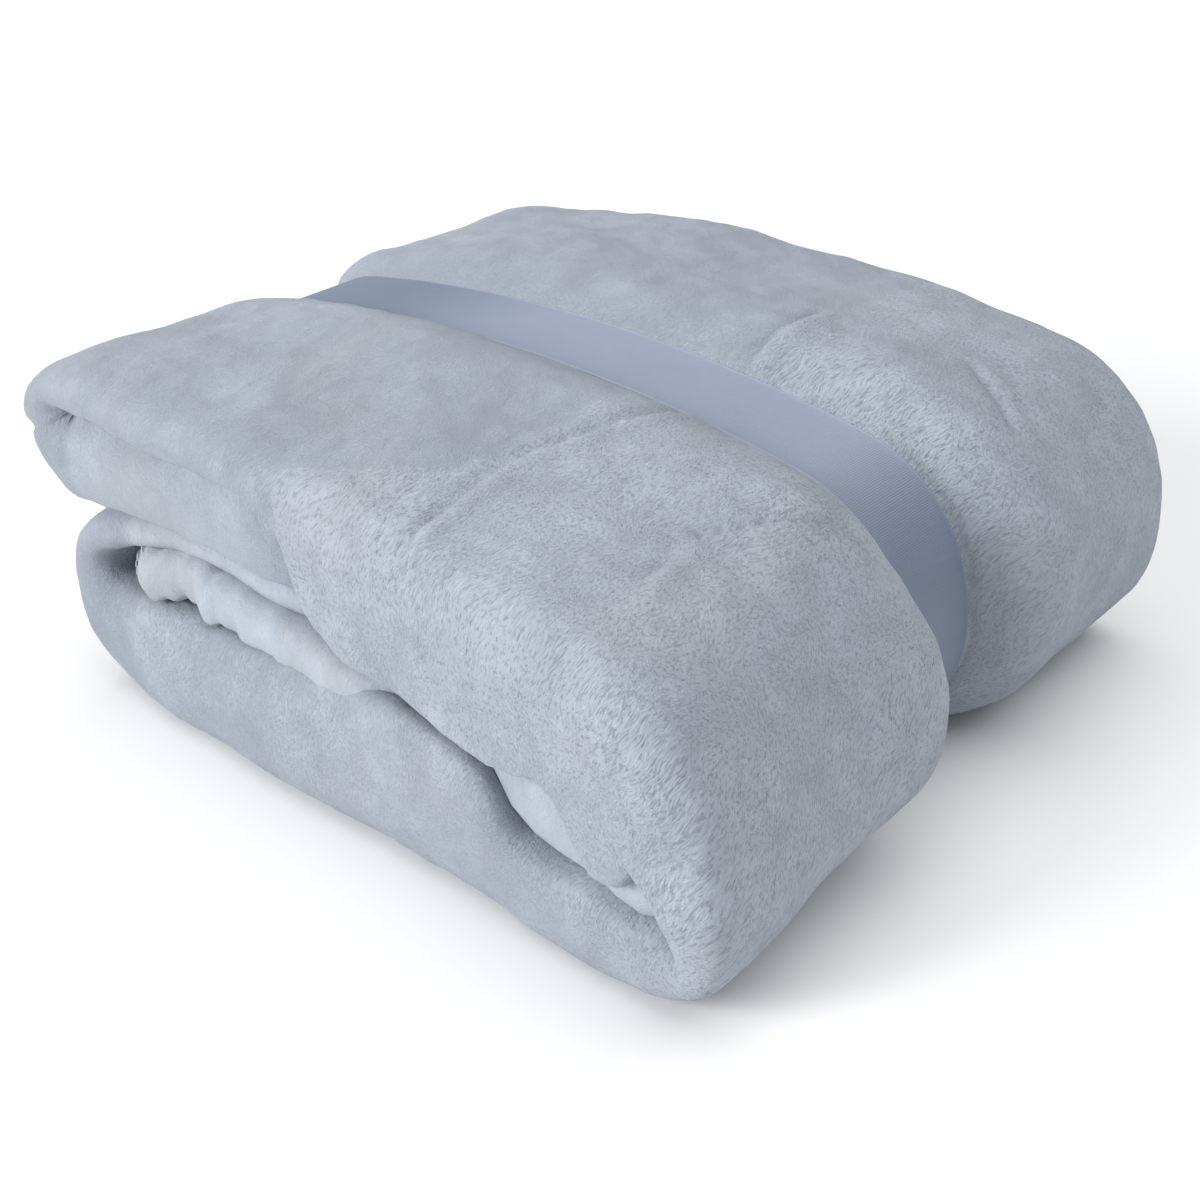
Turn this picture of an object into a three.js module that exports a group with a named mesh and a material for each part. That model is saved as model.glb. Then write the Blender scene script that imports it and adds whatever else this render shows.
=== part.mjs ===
// A plush throw folded into a five-layer pack and held by a grosgrain ribbon.
// +X runs along the folded layers, -Y is the rounded front rim, +Z is up.
// The pack is drawn about the middle of its ribbon, and then moved so that the origin is the middle
// of the underside of its box.

import * as THREE from 'three';

// Driving dimensions, mm.
const packLength = 424;
const packWidth = 356;
const bottomLayer = 60;
const coreLayer = 25;
const coverLayer = 27;
const tuckLayer = 37;
const topLayer = 31;
const layerGap = 1;          // slit between two layers that lie on each other
const wrapReach = 64;        // how far the right-hand wrap bulges past its straight runs
const wrapThickness = 36;    // cloth thickness where the wrap turns
const coreTurnReach = 22;    // small fold inside the right-hand wrap
const coreTurnSetback = 8;   // the small fold starts this far before the wrap
const pocketReach = 26;      // open pocket inside the left-hand lower fold
const lowerFoldReach = 52;
const lowerFoldSetback = 18; // the lower fold ends this far inside the pack's left end
const upperFoldReach = 36;
const upperFoldLean = 0.35;  // the upper fold bulges most near its top
const turnBoxiness = 0.82;   // 1 gives elliptical turns, less gives squarer ones
const coreEndInset = 6;      // cut end of the sheet, measured from the lower fold's centre
const tuckEndInset = 4;      // other cut end, measured from the wrap's centre
const rimRadius = 15;        // rounding of each layer at the front
const rimInset = 8;          // how much thinner a layer is at the very front
const backRimRadius = 4;
const backRimInset = 1.5;
const crownDropLeft = 0.07;  // share of the height that the top loses towards each side
const crownDropRight = 0.19;
const crownDropRim = 0.06;
const crownCentre = -50;     // X of the highest point
const frontSlump = 24;       // how far the front half slumps forward at its right-hand end
const sideSlump = 15;        // and how far it bulges to the right there
const frontSlumpStart = -0.27; // where each slump starts, as a share of the length from the middle
const sideSlumpStart = 0.1;
const ribbonWidth = 50;
const ribbonThickness = 0.6;
const ribbonLap = 60;
const ribbonLapRamp = 8;
const lapTapeThickness = 0.3;
const lapTapeMargin = 8;
const waistTop = 12;         // how deep the ribbon sinks into the top
const floorGap = 1;          // between the ribbon's lap and the surface under the pack
const waistSide = 6;
const waistMargin = 3;       // flat bed on each side of the ribbon
const waistSlope = 34;
const hemThreadRadius = 1.1;
const labelWidth = 34;
const labelHeight = 48;
const labelThickness = 0.8;
const labelPlace = -120;
const clearance = 0.3;       // between two pieces that touch

// Resolution of the faceted solids.
const runSteps = 7;
const turnSteps = 8;
const hemSides = 6;
const stepsPerHemTurn = 4;

const ribbonBed = ribbonWidth / 2 + waistMargin;
const waistBottom = floorGap + 2 * ribbonThickness + lapTapeThickness + 3 * clearance;
const packHeight = bottomLayer + coreLayer + coverLayer + tuckLayer + topLayer;

const fleeceMaterial = new THREE.MeshStandardMaterial({ color: 0xaeb5bd, roughness: 0.95, metalness: 0 });
const threadMaterial = new THREE.MeshStandardMaterial({ color: 0x9fa8b3, roughness: 0.7, metalness: 0 });
const ribbonMaterial = new THREE.MeshStandardMaterial({ color: 0x8f9cb2, roughness: 0.45, metalness: 0 });
const tapeMaterial = new THREE.MeshStandardMaterial({ color: 0xe4e2da, roughness: 0.6, metalness: 0 });
const labelMaterial = new THREE.MeshStandardMaterial({ color: 0xf1f1ee, roughness: 0.5, metalness: 0 });

function smoothStep(value) {
  const t = Math.min(1, Math.max(0, value));
  return t * t * (3 - 2 * t);
}

// 1 under the ribbon, 0 away from it.
function waistAt(y) {
  return 1 - smoothStep((Math.abs(y) - ribbonBed) / waistSlope);
}

// 0 on the ribbon's bed and at the left, 1 at the pack's front right-hand corner.
function slumpAt(x, y, startShare) {
  const along = smoothStep((x / packLength - startShare) / (0.5 - startShare));
  return along * smoothStep((-y - ribbonBed) / (packWidth / 2 - ribbonBed));
}

// Turns a point of the square, level pack into the crowned pack with its waist.
function shapePack(x, y, z) {
  const side = (x - crownCentre) / (packLength / 2 - crownCentre * Math.sign(x - crownCentre));
  const drop = side < 0 ? crownDropLeft : crownDropRight;
  const rim = Math.abs(y) / (packWidth / 2);
  const crown = 1 - drop * side * side - crownDropRim * rim ** 4;
  const waist = waistAt(y);
  const share = z / packHeight;
  const height = z * crown - waistTop * waist * share + waistBottom * waist * (1 - share);
  const pinched = x * (1 - waistSide * waist / (packLength / 2));
  return new THREE.Vector3(
    pinched + sideSlump * slumpAt(x, y, sideSlumpStart),
    y - frontSlump * slumpAt(x, y, frontSlumpStart),
    height,
  );
}

// Lower and upper face of each layer, from the bottom of the pack to its top.
function layerFaces() {
  const faces = [];
  let level = 0;
  for (const thickness of [bottomLayer, coreLayer, coverLayer, tuckLayer, topLayer]) {
    const low = level === 0 ? 0 : level + layerGap / 2;
    level += thickness;
    const high = level === packHeight ? level : level - layerGap / 2;
    faces.push({ low, high });
  }
  return faces;
}

// Cosine or sine of a squarer turn.
function squared(value) {
  return Math.sign(value) * Math.abs(value) ** turnBoxiness;
}

// The sheet's path through the pack as ribs across its thickness. It starts at the cut end in the
// middle of the pack and winds outwards, always turning the same way, to end in the tucked layer.
function foldRibs() {
  const [bottom, core, cover, tuck, top] = layerFaces();
  const wrapX = packLength / 2 - wrapReach;
  const coreTurnX = wrapX - coreTurnSetback;
  const lowerFoldX = -packLength / 2 + lowerFoldSetback + lowerFoldReach;
  const upperFoldX = -packLength / 2 + upperFoldReach;
  const ribs = [];

  function run(fromX, toX, outerZ, innerZ) {
    for (let i = 1; i < runSteps; i++) {
      const x = fromX + (toX - fromX) * i / runSteps;
      ribs.push({ outer: [x, outerZ], inner: [x, innerZ] });
    }
  }

  function turn(x, startAngle, outerReach, outerZ, innerReach, innerZ, lean = 0) {
    const outerMiddle = (outerZ[0] + outerZ[1]) / 2;
    const innerMiddle = (innerZ[0] + innerZ[1]) / 2;
    const outerHalf = Math.abs(outerZ[1] - outerZ[0]) / 2;
    const innerHalf = Math.abs(innerZ[1] - innerZ[0]) / 2;
    for (let i = 0; i <= turnSteps; i++) {
      const angle = startAngle + Math.PI * i / turnSteps;
      const up = squared(Math.sin(angle));
      const across = squared(Math.cos(angle)) * (1 + lean * up);
      ribs.push({
        outer: [x + outerReach * across, outerMiddle + outerHalf * up],
        inner: [x + innerReach * across, innerMiddle + innerHalf * up],
      });
    }
  }

  const right = -Math.PI / 2;
  const left = Math.PI / 2;
  const coreEndX = lowerFoldX + coreEndInset;
  ribs.push({ outer: [coreEndX, core.low], inner: [coreEndX, core.high] });
  run(coreEndX, coreTurnX, core.low, core.high);
  turn(coreTurnX, right, coreTurnReach, [core.low, cover.high], layerGap / 2, [core.high, cover.low]);
  run(coreTurnX, lowerFoldX, cover.high, cover.low);
  turn(lowerFoldX, left, lowerFoldReach, [cover.high, bottom.low], pocketReach, [cover.low, bottom.high]);
  run(lowerFoldX, wrapX, bottom.low, bottom.high);
  turn(wrapX, right, wrapReach, [bottom.low, top.high], wrapReach - wrapThickness, [bottom.high, top.low]);
  run(wrapX, upperFoldX, top.high, top.low);
  turn(upperFoldX, left, upperFoldReach, [top.high, tuck.low], layerGap / 2, [top.low, tuck.high],
    upperFoldLean);
  const tuckEndX = wrapX - tuckEndInset;
  run(upperFoldX, tuckEndX, tuck.low, tuck.high);
  ribs.push({ outer: [tuckEndX, tuck.low], inner: [tuckEndX, tuck.high] });
  return ribs;
}

// A point inside the cloth: share 0 is its outer face, 1 its inner face.
function acrossRib(rib, share) {
  const [outer, inner] = [rib.outer, rib.inner];
  return [outer[0] + (inner[0] - outer[0]) * share, outer[1] + (inner[1] - outer[1]) * share];
}

// Closed outline of the folded sheet, with every face moved into the cloth by inset.
function foldOutline(ribs, inset) {
  const outerSide = [];
  const innerSide = [];
  for (const rib of ribs) {
    const thickness = Math.hypot(rib.inner[0] - rib.outer[0], rib.inner[1] - rib.outer[1]);
    outerSide.push(acrossRib(rib, inset / thickness));
    innerSide.push(acrossRib(rib, 1 - inset / thickness));
  }
  return outerSide.concat(innerSide.reverse());
}

// Y of each section of the pack with the inset that rounds its rims.
function packStations() {
  const stations = [];
  for (const quarterShare of [0, 0.3, 0.62, 1]) {
    const turned = quarterShare * Math.PI / 2;
    stations.push({
      y: -packWidth / 2 + rimRadius * (1 - Math.cos(turned)),
      inset: rimInset * (1 - Math.sin(turned)),
    });
  }
  for (const share of [-1, -0.66, -0.33, 0]) {
    stations.push({ y: -ribbonBed + waistSlope * share, inset: 0 });
  }
  for (const share of [0, 0.33, 0.66, 1]) {
    stations.push({ y: ribbonBed + waistSlope * share, inset: 0 });
  }
  stations.push({ y: packWidth / 2 - backRimRadius, inset: 0 });
  stations.push({ y: packWidth / 2, inset: backRimInset });
  return stations;
}

// Closed surface through equal outlines, capped flat at both ends.
function loft(outlines, triangulation) {
  const count = outlines[0].length;
  const positions = outlines.flat().flatMap((point) => [point.x, point.y, point.z]);
  const index = [];
  for (let j = 0; j + 1 < outlines.length; j++) {
    for (let i = 0; i < count; i++) {
      const next = (i + 1) % count;
      const [a, b] = [j * count + i, j * count + next];
      index.push(a, b + count, b, a, a + count, b + count);
    }
  }
  const last = (outlines.length - 1) * count;
  for (const [a, b, c] of triangulation) {
    index.push(a, b, c);
    index.push(last + a, last + c, last + b);
  }
  const geometry = new THREE.BufferGeometry();
  geometry.setAttribute('position', new THREE.Float32BufferAttribute(positions, 3));
  geometry.setIndex(index);
  geometry.computeVertexNormals();
  return geometry;
}

function fleeceSheet(ribs) {
  const flat = foldOutline(ribs, 0).map(([x, z]) => new THREE.Vector2(x, z));
  const triangulation = THREE.ShapeUtils.triangulateShape(flat, []);
  const outlines = packStations().map(({ y, inset }) => (
    foldOutline(ribs, inset).map(([x, z]) => shapePack(x, y, z))
  ));
  return new THREE.Mesh(loft(outlines, triangulation), fleeceMaterial);
}

// A round thread with a ring at each given point. The path lies about level with one plane.
function thread(points, planeNormal) {
  const rings = points.map((point, i) => {
    const before = points[Math.max(0, i - 1)];
    const after = points[Math.min(points.length - 1, i + 1)];
    const across = after.clone().sub(before).cross(planeNormal).normalize();
    const ring = [];
    for (let k = 0; k < hemSides; k++) {
      const angle = 2 * Math.PI * k / hemSides;
      const spoke = across.clone().multiplyScalar(hemThreadRadius * Math.cos(angle));
      ring.push(spoke.addScaledVector(planeNormal, hemThreadRadius * Math.sin(angle)).add(point));
    }
    return ring;
  });
  const capTriangles = [];
  for (let k = 1; k + 1 < hemSides; k++) {
    capTriangles.push([0, k, k + 1]);
  }
  return new THREE.Mesh(loft(rings, capTriangles), threadMaterial);
}

// Overlock thread of a long edge, on the flat back of the pack. The two long edges are the two
// inner plies of the folded cloth.
function sideHem(ribs, share) {
  const y = packWidth / 2 + clearance + hemThreadRadius;
  const points = ribs.map((rib) => {
    const [x, z] = acrossRib(rib, share);
    return shapePack(x, y, z);
  });
  return thread(points, new THREE.Vector3(0, 1, 0));
}

// Overlock thread of a short edge: four runs across the pack with a turn at each end. facing is -1
// where the cut end looks left and 1 where it looks right.
function endHem(rib, facing) {
  const x = rib.outer[0] + facing * (clearance + hemThreadRadius);
  const runEnd = packWidth / 2 - rimRadius - hemThreadRadius;
  const between = packStations().map((station) => station.y).filter((y) => Math.abs(y) < runEnd - 1);
  const runPlaces = [-runEnd, ...between, runEnd];
  const thickness = Math.abs(rib.inner[1] - rib.outer[1]);
  const points = [];

  function level(share) {
    return acrossRib(rib, share)[1];
  }

  function hemRun(share, heading) {
    for (const y of heading > 0 ? runPlaces : [...runPlaces].reverse()) {
      points.push(shapePack(x, y, level(share)));
    }
  }

  function hemTurn(fromShare, toShare, y, side) {
    const middle = (level(fromShare) + level(toShare)) / 2;
    const half = (level(fromShare) - level(toShare)) / 2;
    const reach = Math.min(Math.abs(half), thickness / 2);
    for (let i = 1; i < stepsPerHemTurn; i++) {
      const angle = Math.PI * i / stepsPerHemTurn;
      points.push(shapePack(x, y + side * reach * Math.sin(angle), middle + half * Math.cos(angle)));
    }
  }

  hemRun(7 / 8, -1);
  hemTurn(7 / 8, 1 / 8, -runEnd, -1);
  hemRun(1 / 8, 1);
  hemTurn(1 / 8, 3 / 8, runEnd, 1);
  hemRun(3 / 8, -1);
  hemTurn(3 / 8, 5 / 8, -runEnd, -1);
  hemRun(5 / 8, 1);
  return thread(points, new THREE.Vector3(1, 0, 0));
}

// Blank label that hangs from the top layer's hem down the back.
function careLabel(ribs, hemShare) {
  const faces = layerFaces();
  const top = faces[faces.length - 1];
  const hemZ = top.high + (top.low - top.high) * hemShare;
  const y = packWidth / 2 + 2 * clearance + 2 * hemThreadRadius + labelThickness / 2;
  const hem = shapePack(labelPlace, packWidth / 2, hemZ);
  const label = new THREE.Mesh(new THREE.BoxGeometry(labelWidth, labelThickness, labelHeight), labelMaterial);
  label.position.set(hem.x, y, hem.z + hemThreadRadius - labelHeight / 2);
  return label;
}

// Counter-clockwise convex hull: the line that a stretched ribbon takes round the pack.
function tautLine(points) {
  const sorted = [...points].sort((a, b) => a.x - b.x || a.y - b.y);
  function half(list) {
    const chain = [];
    for (const point of list) {
      while (chain.length > 1 && turnsRight(chain[chain.length - 2], chain[chain.length - 1], point)) {
        chain.pop();
      }
      chain.push(point);
    }
    chain.pop();
    return chain;
  }
  return half(sorted).concat(half(sorted.reverse()));
}

function turnsRight(a, b, c) {
  return (b.x - a.x) * (c.y - a.y) - (b.y - a.y) * (c.x - a.x) <= 1e-6;
}

// Moves each point of an open line sideways, to the right of its heading.
function shiftLine(line, distance) {
  return line.map((point, i) => {
    const before = line[Math.max(0, i - 1)];
    const after = line[Math.min(line.length - 1, i + 1)];
    const into = point.clone().sub(before).normalize();
    const out = after.clone().sub(point).normalize();
    const heading = into.clone().add(out).normalize();
    const stretch = 1 / Math.max(0.5, heading.dot(i === 0 ? out : into));
    return new THREE.Vector2(point.x + heading.y * distance * stretch, point.y - heading.x * distance * stretch);
  });
}

const ribbonInnerLevel = waistBottom - clearance - ribbonThickness / 2;
const ribbonOuterLevel = ribbonInnerLevel - ribbonThickness - lapTapeThickness - 2 * clearance;

// Middle of the ribbon's thickness, from its covered end once round the pack to its outer end.
function ribbonLine(ribs) {
  const outline = ribs.map((rib) => {
    const point = shapePack(rib.outer[0], 0, rib.outer[1]);
    return new THREE.Vector2(point.x, point.z);
  });
  const hull = tautLine(outline);
  const corners = shiftLine([hull[hull.length - 1], ...hull, hull[0]], clearance + ribbonThickness / 2).slice(1, -1);
  const underside = corners.filter((point) => point.y < ribbonInnerLevel + clearance);
  const rightFoot = Math.max(...underside.map((point) => point.x));
  const leftFoot = Math.min(...underside.map((point) => point.x));
  const first = corners.findIndex((point) => point.x === rightFoot);
  const around = corners.slice(first).concat(corners.slice(0, first));
  const body = around.slice(0, around.findIndex((point) => point.x === leftFoot) + 1);
  return [
    new THREE.Vector2(-ribbonLap / 2, ribbonInnerLevel),
    ...body,
    new THREE.Vector2(-ribbonLap / 2 - 2 * ribbonLapRamp, ribbonInnerLevel),
    new THREE.Vector2(-ribbonLap / 2 - ribbonLapRamp, ribbonOuterLevel),
    new THREE.Vector2(ribbonLap / 2, ribbonOuterLevel),
  ];
}

// A flat outline in X and Z, given depth along Y about the middle of the pack.
function acrossPack(points, width, material) {
  const geometry = new THREE.ExtrudeGeometry(new THREE.Shape(points), { depth: width, bevelEnabled: false });
  geometry.rotateX(Math.PI / 2);
  geometry.translate(0, width / 2, 0);
  return new THREE.Mesh(geometry, material);
}

function ribbonBand(ribs) {
  const line = ribbonLine(ribs);
  const outer = shiftLine(line, ribbonThickness / 2);
  const inner = shiftLine(line, -ribbonThickness / 2);
  return acrossPack(outer.concat(inner.reverse()), ribbonWidth, ribbonMaterial);
}

function ribbonLapTape() {
  const half = ribbonLap / 2 - lapTapeMargin;
  const low = ribbonOuterLevel + ribbonThickness / 2 + clearance;
  const high = low + lapTapeThickness;
  const corners = [[-half, low], [half, low], [half, high], [-half, high]];
  const points = corners.map(([x, z]) => new THREE.Vector2(x, z));
  return acrossPack(points, ribbonWidth - 2 * lapTapeMargin, tapeMaterial);
}

function named(name, mesh) {
  mesh.name = name;
  return mesh;
}

const outerHemShare = 5 / 8;
const innerHemShare = 7 / 8;
const sheetRibs = foldRibs();

const foldedThrow = new THREE.Group();
foldedThrow.add(named('fleece_sheet', fleeceSheet(sheetRibs)));
foldedThrow.add(named('side_hem_thread_first', sideHem(sheetRibs, outerHemShare)));
foldedThrow.add(named('side_hem_thread_second', sideHem(sheetRibs, innerHemShare)));
foldedThrow.add(named('end_hem_thread_inner', endHem(sheetRibs[0], -1)));
foldedThrow.add(named('end_hem_thread_outer', endHem(sheetRibs[sheetRibs.length - 1], 1)));
foldedThrow.add(named('care_label', careLabel(sheetRibs, outerHemShare)));
foldedThrow.add(named('ribbon_band', ribbonBand(sheetRibs)));
foldedThrow.add(named('ribbon_lap_tape', ribbonLapTape()));

// The origin is the middle of the underside of the whole pack's box.
const packBox = new THREE.Box3().setFromObject(foldedThrow);
const packMiddle = packBox.getCenter(new THREE.Vector3());
foldedThrow.position.set(-packMiddle.x, -packMiddle.y, 0);

export default foldedThrow;
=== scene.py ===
import itertools
import math
import bmesh
import bpy
import numpy as np
from mathutils import Matrix, Vector


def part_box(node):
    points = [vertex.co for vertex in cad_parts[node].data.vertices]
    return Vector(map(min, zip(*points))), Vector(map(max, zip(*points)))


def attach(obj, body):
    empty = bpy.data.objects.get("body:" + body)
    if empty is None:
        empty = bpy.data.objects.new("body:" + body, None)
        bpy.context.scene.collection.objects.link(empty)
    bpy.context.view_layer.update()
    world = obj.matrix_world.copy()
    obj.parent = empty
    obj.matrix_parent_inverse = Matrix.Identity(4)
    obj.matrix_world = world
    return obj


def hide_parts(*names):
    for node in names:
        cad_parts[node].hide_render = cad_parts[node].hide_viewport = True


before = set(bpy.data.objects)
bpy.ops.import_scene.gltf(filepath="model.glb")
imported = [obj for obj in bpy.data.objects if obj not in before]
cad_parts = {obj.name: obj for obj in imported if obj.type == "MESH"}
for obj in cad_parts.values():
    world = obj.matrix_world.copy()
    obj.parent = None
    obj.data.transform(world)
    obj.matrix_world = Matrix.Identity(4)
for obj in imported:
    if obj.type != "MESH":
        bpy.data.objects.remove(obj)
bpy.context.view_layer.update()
mm = 0.001

# the frame is drawn about the middle of the ribbon and then centred, so the shift is read back from it
bandLow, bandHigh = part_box("ribbon_band")
tapeLow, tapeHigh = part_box("ribbon_lap_tape")
frameShift = np.array([(tapeLow.x + tapeHigh.x) / 2, (bandLow.y + bandHigh.y) / 2, 0.0]) / mm


class Wire:
    # one socket of a material's nodes, with the operators that its maths needs
    def __init__(self, socket, tree):
        self.socket, self.tree = socket, tree

    def node(self, kind, settings=None, sockets=None, out=0):
        made = self.tree.nodes.new(kind)
        for key, value in (settings or {}).items():
            setattr(made, key, value)
        for key, value in (sockets or {}).items():
            if isinstance(value, Wire):
                self.tree.links.new(value.socket, made.inputs[key])
            elif isinstance(value, tuple) and len(value) == 3 and made.inputs[key].type == "RGBA":
                made.inputs[key].default_value = (*value, 1)
            else:
                made.inputs[key].default_value = value
        return Wire(made.outputs[out], self.tree)

    def math(self, operation, first, second):
        return self.node("ShaderNodeMath", {"operation": operation}, {0: first, 1: second})

    def vector(self, operation, first, second, out=0):
        return self.node("ShaderNodeVectorMath", {"operation": operation}, {0: first, 1: second}, out)

    def __add__(self, other):
        return self.math("ADD", self, other)

    def __radd__(self, other):
        return self.math("ADD", other, self)

    def __sub__(self, other):
        return self.math("SUBTRACT", self, other)

    def __rsub__(self, other):
        return self.math("SUBTRACT", other, self)

    def __mul__(self, other):
        return self.math("MULTIPLY", self, other)

    def __rmul__(self, other):
        return self.math("MULTIPLY", other, self)

    def step(self, low, high):
        # 0 below low, 1 above high, smooth between
        return self.node("ShaderNodeMapRange", {"interpolation_type": "SMOOTHSTEP"},
                         {"Value": self, "From Min": low, "From Max": high})

    def noise(self, size, detail=2.0, rough=0.5, out=0):
        # noise whose features are about size across, in metres
        return self.node("ShaderNodeTexNoise", None,
                         {"Vector": self, "Scale": 1 / size, "Detail": detail, "Roughness": rough}, out)

    def painted(self, name):
        # a number painted on the points of the object
        return self.node("ShaderNodeAttribute", {"attribute_name": name}, None, 2)

    def mixed(self, colour, other):
        # this socket is the share of the second colour
        return self.node("ShaderNodeMix", {"data_type": "RGBA"}, {0: self, 6: colour, 7: other}, 2)


def newMaterial(name, fixed):
    # a material with its even values set on the shader, and a wire that carries the place on the object
    material = bpy.data.materials.new(name)
    material.use_nodes = True
    tree = material.node_tree
    shader = tree.nodes["Principled BSDF"]
    for key, value in fixed.items():
        shader.inputs[key].default_value = value
    place = Wire(None, tree).node("ShaderNodeTexCoord", out=3)
    return material, place, shader


def finish(shader, colour, roughness, height, distance, strength):
    tree = shader.id_data
    bumped = height.node("ShaderNodeBump", None,
                         {"Height": height, "Distance": distance, "Strength": strength})
    tree.links.new(colour.socket, shader.inputs["Base Color"])
    tree.links.new(roughness.socket, shader.inputs["Roughness"])
    tree.links.new(bumped.socket, shader.inputs["Normal"])


def smoothStep(value, start=0.0, end=1.0):
    # 0 up to start, 1 from end on, smooth between
    t = np.clip((value - start) / (end - start), 0, 1)
    return t * t * (3 - 2 * t)


def bump(value, middle, spread):
    return np.exp(-((value - middle) / spread) ** 2)


def softNoise(points, size, seed):
    # smooth noise from -1 to 1 with features about size across, made from a seeded lattice that repeats
    cells, farOff = 32, 200.0
    table = np.random.default_rng(seed).uniform(-1, 1, (cells, cells, cells))
    place = points / size + farOff
    cell = np.floor(place).astype(int)
    part = smoothStep(place - cell)
    total = np.zeros(points.shape[:-1])
    for corner in itertools.product((0, 1), repeat=3):
        weight = np.ones(points.shape[:-1])
        index = []
        for axis, side in enumerate(corner):
            weight = weight * (part[..., axis] if side else 1 - part[..., axis])
            index.append((cell[..., axis] + side) % cells)
        total += weight * table[tuple(index)]
    return total


def layeredNoise(points, layers):
    # each layer is its strength, size and seed
    return sum(strength * softNoise(points, size, seed) for strength, size, seed in layers)


def softened(values, window):
    # running mean along the first axis, with the ends held
    kernel = np.ones(window) / window
    held = np.pad(values, ((window // 2, window // 2), (0, 0)), "edge")
    return np.stack([np.convolve(column, kernel, "valid") for column in held.T], -1)


def lengthsAlong(line):
    return np.concatenate([[0], np.cumsum(np.linalg.norm(np.diff(line, axis=0), axis=1))])


def unit(vectors):
    return vectors / np.maximum(np.linalg.norm(vectors, axis=-1, keepdims=True), 1e-9)


def addMesh(name, points, faces, smooth=True):
    mesh = bpy.data.meshes.new(name)
    points = (points.reshape(-1, 3) + frameShift) * mm
    mesh.vertices.add(len(points))
    mesh.vertices.foreach_set("co", points.astype(np.float32).ravel())
    mesh.loops.add(faces.size)
    mesh.loops.foreach_set("vertex_index", faces.astype(np.int32).ravel())
    mesh.polygons.add(len(faces))
    mesh.polygons.foreach_set("loop_start", np.arange(0, faces.size, faces.shape[1], dtype=np.int32))
    mesh.update(calc_edges=True)
    mesh.validate()
    mesh.polygons.foreach_set("use_smooth", [smooth] * len(mesh.polygons))
    piece = bpy.data.objects.new(name, mesh)
    bpy.context.scene.collection.objects.link(piece)
    return piece


def paint(piece, name, values):
    # a number for each point of a piece, which its material reads
    data = piece.data.attributes.new(name, "FLOAT", "POINT").data
    data.foreach_set("value", np.asarray(values, np.float32).ravel())


def gridFaces(rows, columns, first=0, closeColumns=False):
    column = np.arange(columns if closeColumns else columns - 1)
    r, c = np.meshgrid(np.arange(rows - 1), column, indexing="ij")
    here, beside = r * columns + c, r * columns + (c + 1) % columns
    corners = [here, beside, beside + columns, here + columns]
    return np.stack([corner.ravel() for corner in corners], -1) + first


fold = {
    "length": 424, "width": 356,
    "layers": (60, 25, 27, 37, 31),  # bottom, core, cover, tuck, top
    "gap": 1,
    "wrapReach": 64, "wrapThickness": 36,
    "coreTurnReach": 22, "coreTurnSetback": 8,
    "pocketReach": 26, "lowerReach": 52, "lowerSetback": 18,
    "upperReach": 36, "upperLean": 0.35, "upperDent": 0.22, "boxiness": 0.82,
    "coreEndInset": 6, "tuckEndInset": 4,
    "clothThickness": 5.2, "pressedEdge": 0.62, "deepestRim": 14,
    "ribbonBed": 25.6, "waistTop": 12, "waistBottom": 3.4, "waistSlope": 40,
    "waistLeft": 9, "waistRight": 15, "waistRightLow": 12,
    "crownDropLeft": 0.07, "crownDropRight": 0.19, "crownDropRim": 0.06, "crownCentre": -50,
    "frontSlump": 24, "sideSlump": 15, "frontSlumpStart": -0.27, "sideSlumpStart": 0.1,
    "fine": 3.4, "bottomSpacing": 4.5, "medium": 5.5, "coarse": 12,  # spacing of the mesh
    "turnSteps": {"coreTurn": 13, "lowerTurn": 42, "wrap": 66, "upperTurn": 30},
    "plySteps": {"rim": 26, "backTurn": 10, "innerRim": 8},
    "innerRimGap": 2.5, "cutEdgeInset": 2,
    "frontWander": ((2.4, 90, 3), (1.0, 27, 4)),   # strength, size and seed of each layer of noise
    "backWander": ((3.5, 120, 5),), "backInset": 3,
    "bodyWander": (((3.0, 105, 20), (1.2, 41, 30)), ((2.6, 105, 21), (1.1, 41, 31)),
                   ((3.4, 105, 22), (1.4, 41, 32))),
    "dimples": ((0.6, 17, 51), (0.4, 8, 52)),
    # distances from the ribbon's middle over which each of these grows to its full amount
    "swellFade": (21.6, 43.6), "wanderFade": (25.6, 55.6), "dimpleFade": (25.6, 37.6),
    "wanderUnderRibbon": 0.04,
    "smoothRows": 9,
    "floorGap": 0.3, "floorFade": 25,
}

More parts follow.
